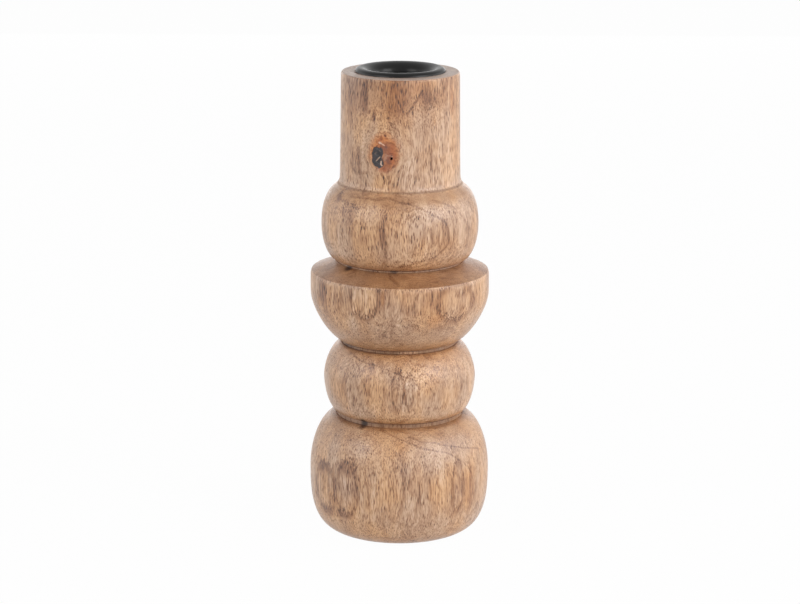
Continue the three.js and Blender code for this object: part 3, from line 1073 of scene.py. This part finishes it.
def knot_colours(mix, colour, place, azimuth, height, knot_reach):
    """Rust-coloured halo, red-brown heart, black filler with pale flecks that are partly painted glints, and
    a pinhole.
    """
    curl = mix.grain(place, KNOT_CURL, colour=True)
    curled = mix.spread(curl, CURL_REACH)
    still = mix.combine(azimuth, height, 0.0)
    knot_place = mix.vector("ADD", still, curled)
    filler_place = mix.vector("ADD", still, mix.vector("MULTIPLY", curled, FILLER_CURL))
    mottle = mix.ramp(mix.split(curl)[2], *MOTTLE_SLOPE)
    halo = mix.ramp(mix.times_plus(mottle, MOTTLE_REACH, knot_reach), *HALO_SLOPE)
    colour = mix.shade(halo, colour, HALO_TINT)
    colour = mix.shade(patches(mix, knot_place, SCORCH_MARKS), colour, SCORCH_TINT)
    heart_colour = mix.blend(mottle, KNOT_HEART_DARK, KNOT_HEART)
    colour = mix.blend(patches(mix, knot_place, HEART_MARKS), colour, heart_colour)
    colour = mix.blend(patches(mix, knot_place, FLECK_MARKS), colour, FLECK_AND_GLINT_COLOUR)
    filler = mix.ramp(patches(mix, filler_place, FILLER_MARKS), *FILLER_EDGE)
    colour = mix.blend(filler, colour, mix.blend(mottle, FILLER_COLOUR, FILLER_GREY))
    # Pale flecks, partly painted glints on the filler
    fleck_and_glint = traced(mix, filler_place, FLECK_AND_GLINT_TRACES)
    fleck_and_glint = mix.times(fleck_and_glint, mix.ramp(mix.split(curl)[1], *FLECK_AND_GLINT_BREAKS))
    colour = mix.blend(fleck_and_glint, colour, FLECK_AND_GLINT_COLOUR)
    return mix.blend(patches(mix, still, PINHOLE_MARKS), colour, PINHOLE_COLOUR), filler


def wood_material(rows):
    """Open-pored wood: streaks, pores, growth rings, stains and some painted shade, a knot, painted sheen on
    the top and painted shade in creases.
    """
    mix = Coat("mango_wood")
    place = mix.millimetres()
    parts = mix.split(place)
    x, y, height = parts
    across = mix.vector("LENGTH", mix.combine(x, y, 0.0))
    azimuth = mix.math("ARCTAN2", x, mix.times(y, -1.0))
    azimuth = mix.times(azimuth, 180 / math.pi)
    fibre, knot_reach = fibre_place(mix, place, rows)

    # Streaks in three widths, cut short where the fibres run out of the surface
    long_grain = mix.grain(fibre, LONG_GRAIN)
    short_grain = mix.grain(fibre, SHORT_GRAIN)
    medium = mix.grain(fibre, MEDIUM_STREAKS)
    broad = mix.grain(fibre, BROAD_STREAKS)
    facing = mix.split(mix.node("ShaderNodeTexCoord").outputs["Normal"])[2]
    facing = mix.math("ABSOLUTE", facing)
    end_grain = mix.ramp(facing, *END_GRAIN_SLOPE)
    wall = mix.ramp(facing, *WALL_SLOPE)
    medium_tone = mix.times(mix.centred(medium, MEDIUM_TONE), wall)
    warp_round = mix.centred(medium, WARP_ROUND)
    warp_up = mix.centred(long_grain, WARP_UP_FINE)
    warp_up = mix.math("ADD", warp_up, mix.centred(medium, WARP_UP_MEDIUM))
    warped = (mix.math("ADD", azimuth, warp_round), mix.math("ADD", height, warp_up))
    surface = mix.combine(*warped, 0.0)
    short_share = patches(mix, surface, SHORT_GRAIN_MARKS)
    fine = mix.node("ShaderNodeMix", {0: short_share, 2: long_grain, 3: short_grain}).outputs[0]
    dash = mix.ramp(fine, *DASH_SLOPE)
    pore = pore_share(mix, fibre)
    late = late_wood(mix, place, parts, medium)

    # Marks, with none of the dark patches on end grain
    side = mix.math("SUBTRACT", 1.0, end_grain)
    ash = mix.times(patches(mix, surface, ASH_MARKS), side)
    # Brown patches, some of them painted shade
    umber_and_shade = mix.times(patches(mix, surface, UMBER_AND_SHADE_MARKS), side)
    rust = patches(mix, surface, RUST_MARKS)
    pale = patches(mix, surface, PALE_MARKS)
    rim = mix.times(rims(mix, surface, RING_MARKS), side)
    wander = mix.spread(mix.grain(place, WANDER, colour=True), WANDER_REACH)
    nearly = mix.vector("ADD", mix.combine(azimuth, height, 0.0), wander)
    trace = mix.times(traced(mix, nearly, TRACES), mix.ramp(fine, *TRACE_BREAKS))
    uneven = mix.ramp(long_grain, *MARK_BREAKS)
    ash = mix.times(ash, uneven)
    umber_and_shade = mix.times(umber_and_shade, uneven)
    rim = mix.times(rim, uneven)

    # Lightness
    contrast = mix.times_plus(wall, WALL_CONTRAST, LEAST_CONTRAST)
    fine_tone = mix.times(mix.centred(fine, FINE_TONE), contrast)
    tone = mix.math("ADD", fine_tone, mix.times_plus(wall, WALL_TONE, MEAN_TONE))
    tone = mix.math("ADD", mix.math("ADD", tone, medium_tone), mix.centred(broad, BROAD_TONE))
    calm = patches(mix, surface, CALM_MARKS)
    contrast = mix.times(contrast, mix.math("SUBTRACT", 1.0, calm))
    tone = mix.times_plus(mix.times(dash, contrast), -DASH_TONE, tone)
    pore_tone = mix.times(pore, contrast)
    tone = mix.times_plus(mix.ramp(height, *FOOT_SLOPE), FOOT_TONE, tone)
    tone = mix.times_plus(pale, mix.centred(fine, FIBRE_TONE), tone)
    turning = mix.noise(mix.combine(mix.times(across, TURNING_MARKS), 0.0, 0.0), *TURNING_DETAIL)
    tone = mix.times_plus(mix.times(turning, end_grain), -TURNING_TONE, tone)
    for mask, size in ((late, -RING_TONE), (pore_tone, -PORE_TONE), (ash, -ASH_TONE), (umber_and_shade, -UMBER_AND_SHADE_TONE),
                       (rust, -RUST_TONE), (pale, PALE_TONE), (rim, -RIM_TONE), (trace, -TRACE_TONE),
                       (end_grain, -END_TONE)):
        tone = mix.times_plus(mask, size, tone)

    # Colour, with a greyer and paler top as painted sheen, painted shade in the creases and grooves, and the
    # knot
    colour = mix.tones(mix.times(tone, 1 / 255), WOOD_TONES)
    colour = mix.shade(ash, colour, ASH_TINT)
    colour = mix.shade(rust, colour, RUST_TINT)
    hue = mix.ramp(mix.grain(place, HUE_PATCHES), *HUE_SLOPE)
    hue = mix.times(hue, mix.times_plus(wall, 1 - LEAST_HUE, LEAST_HUE))
    colour = mix.shade(1.0, colour, mix.blend(hue, WARM_TINT, COOL_TINT))
    # Painted sheen: the collar's top paler and greyer
    top = top_height(rows)
    top_sheen = mix.ramp(height, top - TOP_SHEEN_START, top - TOP_SHEEN_FULL)
    top_sheen = mix.times(top_sheen, mix.ramp(fine, *TOP_SHEEN_BREAKS))
    colour = mix.blend(top_sheen, colour, TOP_SHEEN_COLOUR)
    # Painted shade in the creases
    crease = crease_shade_lines(mix, across, height, azimuth, make_creases(rows))
    crease = mix.times(crease, mix.ramp(medium, *GROOVE_BREAKS))
    colour = mix.blend(crease, colour, GROOVE_SHADE_COLOUR)
    # Painted shade in blotches in the grooves
    colour = mix.shade(patches(mix, nearly, GROOVE_SHADE_MARKS), colour, GROOVE_SHADE_TINT)
    colour, filler = knot_colours(mix, colour, place, azimuth, height, knot_reach)

    # Satin finish: rougher in pores, end grain and creases, glossy on the filler
    rough = mix.times_plus(mix.grain(place, POLISH), POLISH_ROUGHNESS, WOOD_ROUGHNESS)
    for mask, size in ((pore, PORE_ROUGHNESS), (end_grain, END_ROUGHNESS), (crease, CREASE_ROUGHNESS),
                       (filler, FILLER_ROUGHNESS)):
        rough = mix.times_plus(mask, size, rough)
    mix.shader.inputs["Specular IOR Level"].default_value = WOOD_SPECULAR
    relief = mix.times_plus(pore, -1.0, long_grain)
    relief = mix.times(relief, mix.math("SUBTRACT", 1.0, filler))
    return mix.finish(colour, rough, relief, WOOD_RELIEF)


# Black powder coat: orange peel, patches of other gloss, and a little dust
PEEL = Weave(1.6, 1.6, 2.0)
PEEL_RELIEF = 0.02
COAT_PATCHES = Weave(0.16, 0.16, 2.0)
COAT_SLOPE = (0.35, 0.65)
COAT_DARK = srgb(13, 13, 13)
COAT_LIGHT = srgb(18, 18, 17)
COAT_ROUGHNESS = 0.26
COAT_PATCH_ROUGHNESS = 0.10
COAT_SPECULAR = 0.22
DUST = Weave(3.4, 3.4, 2.0, 0.6)
DUST_SLOPE = (0.60, 0.74)
DUST_COLOUR = srgb(110, 108, 104)
DUST_SHARE = 0.05
DUST_ROUGHNESS = 0.15


def metal_material():
    """Satin black powder coat over pressed steel."""
    mix = Coat("black_powder_coat")
    place = mix.millimetres()
    peel = mix.grain(place, PEEL)
    patch = mix.grain(place, COAT_PATCHES)
    dust = mix.ramp(mix.grain(place, DUST), *DUST_SLOPE)
    colour = mix.blend(mix.ramp(patch, *COAT_SLOPE), COAT_DARK, COAT_LIGHT)
    colour = mix.blend(mix.times(dust, DUST_SHARE), colour, DUST_COLOUR)
    rough = mix.times_plus(patch, COAT_PATCH_ROUGHNESS, COAT_ROUGHNESS)
    rough = mix.times_plus(dust, DUST_ROUGHNESS, rough)
    mix.shader.inputs["Specular IOR Level"].default_value = COAT_SPECULAR
    return mix.finish(colour, rough, peel, PEEL_RELIEF)


# Felt: matted fibres that run two ways, each way's waves to a millimetre, bent by a slow sway
FELT_SWAY = Weave(0.9, 0.9, 2.0)
FELT_SWAY_REACH = (3.0, 3.0, 3.0)
FELT_STRANDS = (5.0, 1.2, 4.0)
FELT_CROSSING = (1.2, 5.0, 4.0)
FELT_DETAIL = (3.0, 0.7)
FELT_SLOPE = (0.45, 0.72)
FELT_DARK = srgb(98, 80, 64)
FELT_LIGHT = srgb(160, 138, 116)
FELT_ROUGHNESS = (0.4, 0.7, 0.95, 0.85)
FELT_SHEEN = 0.35
FELT_RELIEF = 0.15


def felt_material():
    """Pressed wool felt in mixed browns."""
    mix = Coat("pressed_felt")
    place = mix.millimetres()
    sway = mix.spread(mix.grain(place, FELT_SWAY, colour=True), FELT_SWAY_REACH)
    bent = mix.vector("ADD", place, sway)
    strands = mix.noise(mix.vector("MULTIPLY", bent, FELT_STRANDS), *FELT_DETAIL)
    crossing = mix.noise(mix.vector("MULTIPLY", bent, FELT_CROSSING), *FELT_DETAIL)
    fibres = mix.math("MAXIMUM", strands, crossing)
    colour = mix.blend(mix.ramp(fibres, *FELT_SLOPE), FELT_DARK, FELT_LIGHT)
    mix.shader.inputs["Sheen Weight"].default_value = FELT_SHEEN
    return mix.finish(colour, mix.ramp(fibres, *FELT_ROUGHNESS), fibres, FELT_RELIEF)


# Studio: floor, world, lamps and camera

def studio_white(mix, lit, lit_share):
    """White for camera, gloss and glass rays, with a share of the lit surface that keeps the shadow."""
    path = mix.node("ShaderNodeLightPath").outputs
    glow = mix.node("ShaderNodeEmission").outputs[0]
    seen = path["Is Camera Ray"]
    for name in ("Is Glossy Ray", "Is Transmission Ray"):
        seen = mix.math("MAXIMUM", seen, path[name])
    share = mix.times(seen, 1 - lit_share)
    return mix.node("ShaderNodeMixShader", {0: share, 1: lit, 2: glow}).outputs[0]


# The floor, in metres: it lies a hair below the pads, and shows this share of its light and shadow
FLOOR_SIZE = 12.0
FLOOR_DROP = 0.00005
FLOOR_COLOUR = srgb(232, 232, 232)
FLOOR_LIT_SHARE = 0.02

# The room's light at the horizon and overhead, and the heights of the view between which it changes
HORIZON_LEVEL = 0.62
CEILING_LEVEL = 0.14
HORIZON_END = 0.1
CEILING_START = 0.8


def make_floor():
    mesh = bmesh.new()
    half = FLOOR_SIZE / 2
    corners = ((-half, -half), (half, -half), (half, half), (-half, half))
    mesh.faces.new([mesh.verts.new((x, y, -FLOOR_DROP)) for x, y in corners])
    floor = add_object("floor", end_mesh("floor", mesh))
    material = bpy.data.materials.new("pale_floor")
    mix = Recipe(material)
    lit = mix.node("ShaderNodeBsdfDiffuse", {"Color": FLOOR_COLOUR}).outputs[0]
    mix.node("ShaderNodeOutputMaterial", {"Surface": studio_white(mix, lit, FLOOR_LIT_SHARE)})
    floor.data.materials.append(material)


def make_world():
    """A pale room that is dimmer overhead, seen as white."""
    world = bpy.data.worlds.new("studio")
    mix = Recipe(world)
    up = mix.split(mix.node("ShaderNodeTexCoord").outputs["Generated"])[2]
    level = mix.ramp(up, HORIZON_END, CEILING_START, HORIZON_LEVEL, CEILING_LEVEL)
    lit = mix.node("ShaderNodeBackground", {"Strength": level}).outputs[0]
    mix.node("ShaderNodeOutputWorld", {"Surface": studio_white(mix, lit, 0.0)})
    bpy.context.scene.world = world


class Lamp(NamedTuple):
    """A softbox: its direction and distance in metres from AIM, its size, and how bright its face is."""
    name: str
    azimuth: float
    elevation: float
    distance: float
    size: tuple
    radiance: float


AIM = Vector((0.0, 0.0, 0.11))
LAMPS = [
    Lamp("softbox_left", -50.0, 24.0, 1.4, (0.75, 0.65), 3.7),
    Lamp("softbox_right", 57.0, 24.0, 1.4, (0.80, 0.70), 6.3),
    Lamp("fill_left", -102.0, 6.0, 1.4, (1.3, 1.1), 1.2),
    Lamp("fill_right", 102.0, 6.0, 1.4, (1.3, 1.1), 1.6),
    Lamp("fill_front", 22.0, -2.0, 1.6, (1.2, 0.9), 2.1),
    Lamp("fill_back", 180.0, 0.0, 1.5, (1.3, 0.45), 1.6),
]


def make_lamp(lamp):
    turn = math.radians(lamp.azimuth)
    rise = math.radians(lamp.elevation)
    way = Vector((math.sin(turn) * math.cos(rise), -math.cos(turn) * math.cos(rise), math.sin(rise)))
    data = bpy.data.lights.new(lamp.name, "AREA")
    data.shape = "RECTANGLE"
    data.size, data.size_y = lamp.size
    data.energy = lamp.radiance * math.pi * lamp.size[0] * lamp.size[1]
    box = add_object(lamp.name, data)
    box.location = AIM + way * lamp.distance
    box.rotation_euler = (-way).to_track_quat("-Z", "Y").to_euler()
    box.visible_camera = False


def make_camera():
    data = bpy.data.cameras.new("photo_camera")
    data.sensor_fit = "HORIZONTAL"
    data.sensor_width = CAMERA_SENSOR
    data.lens = CAMERA_LENS
    camera = add_object("photo_camera", data)
    pitch = Matrix.Rotation(math.radians(90 - CAMERA_PITCH), 4, "X")
    roll = Matrix.Rotation(math.radians(CAMERA_ROLL), 4, "Z")
    place = Matrix.Translation((CAMERA_SIDE, -CAMERA_DISTANCE, CAMERA_HEIGHT))
    camera.matrix_world = place @ (pitch @ roll)
    bpy.context.scene.camera = camera


body, body_rows = make_body()
cup = make_cup()
pads = [make_pad(node) for node in PAD_NODES]
scatter_marks()
body.data.materials.append(wood_material(body_rows))
cup.data.materials.append(metal_material())
felt = felt_material()
for pad in pads:
    pad.data.materials.append(felt)
make_floor()
make_world()
for lamp in LAMPS:
    make_lamp(lamp)
make_camera()

bpy.context.scene.view_settings.view_transform = "Standard"
bpy.context.view_layer.update()
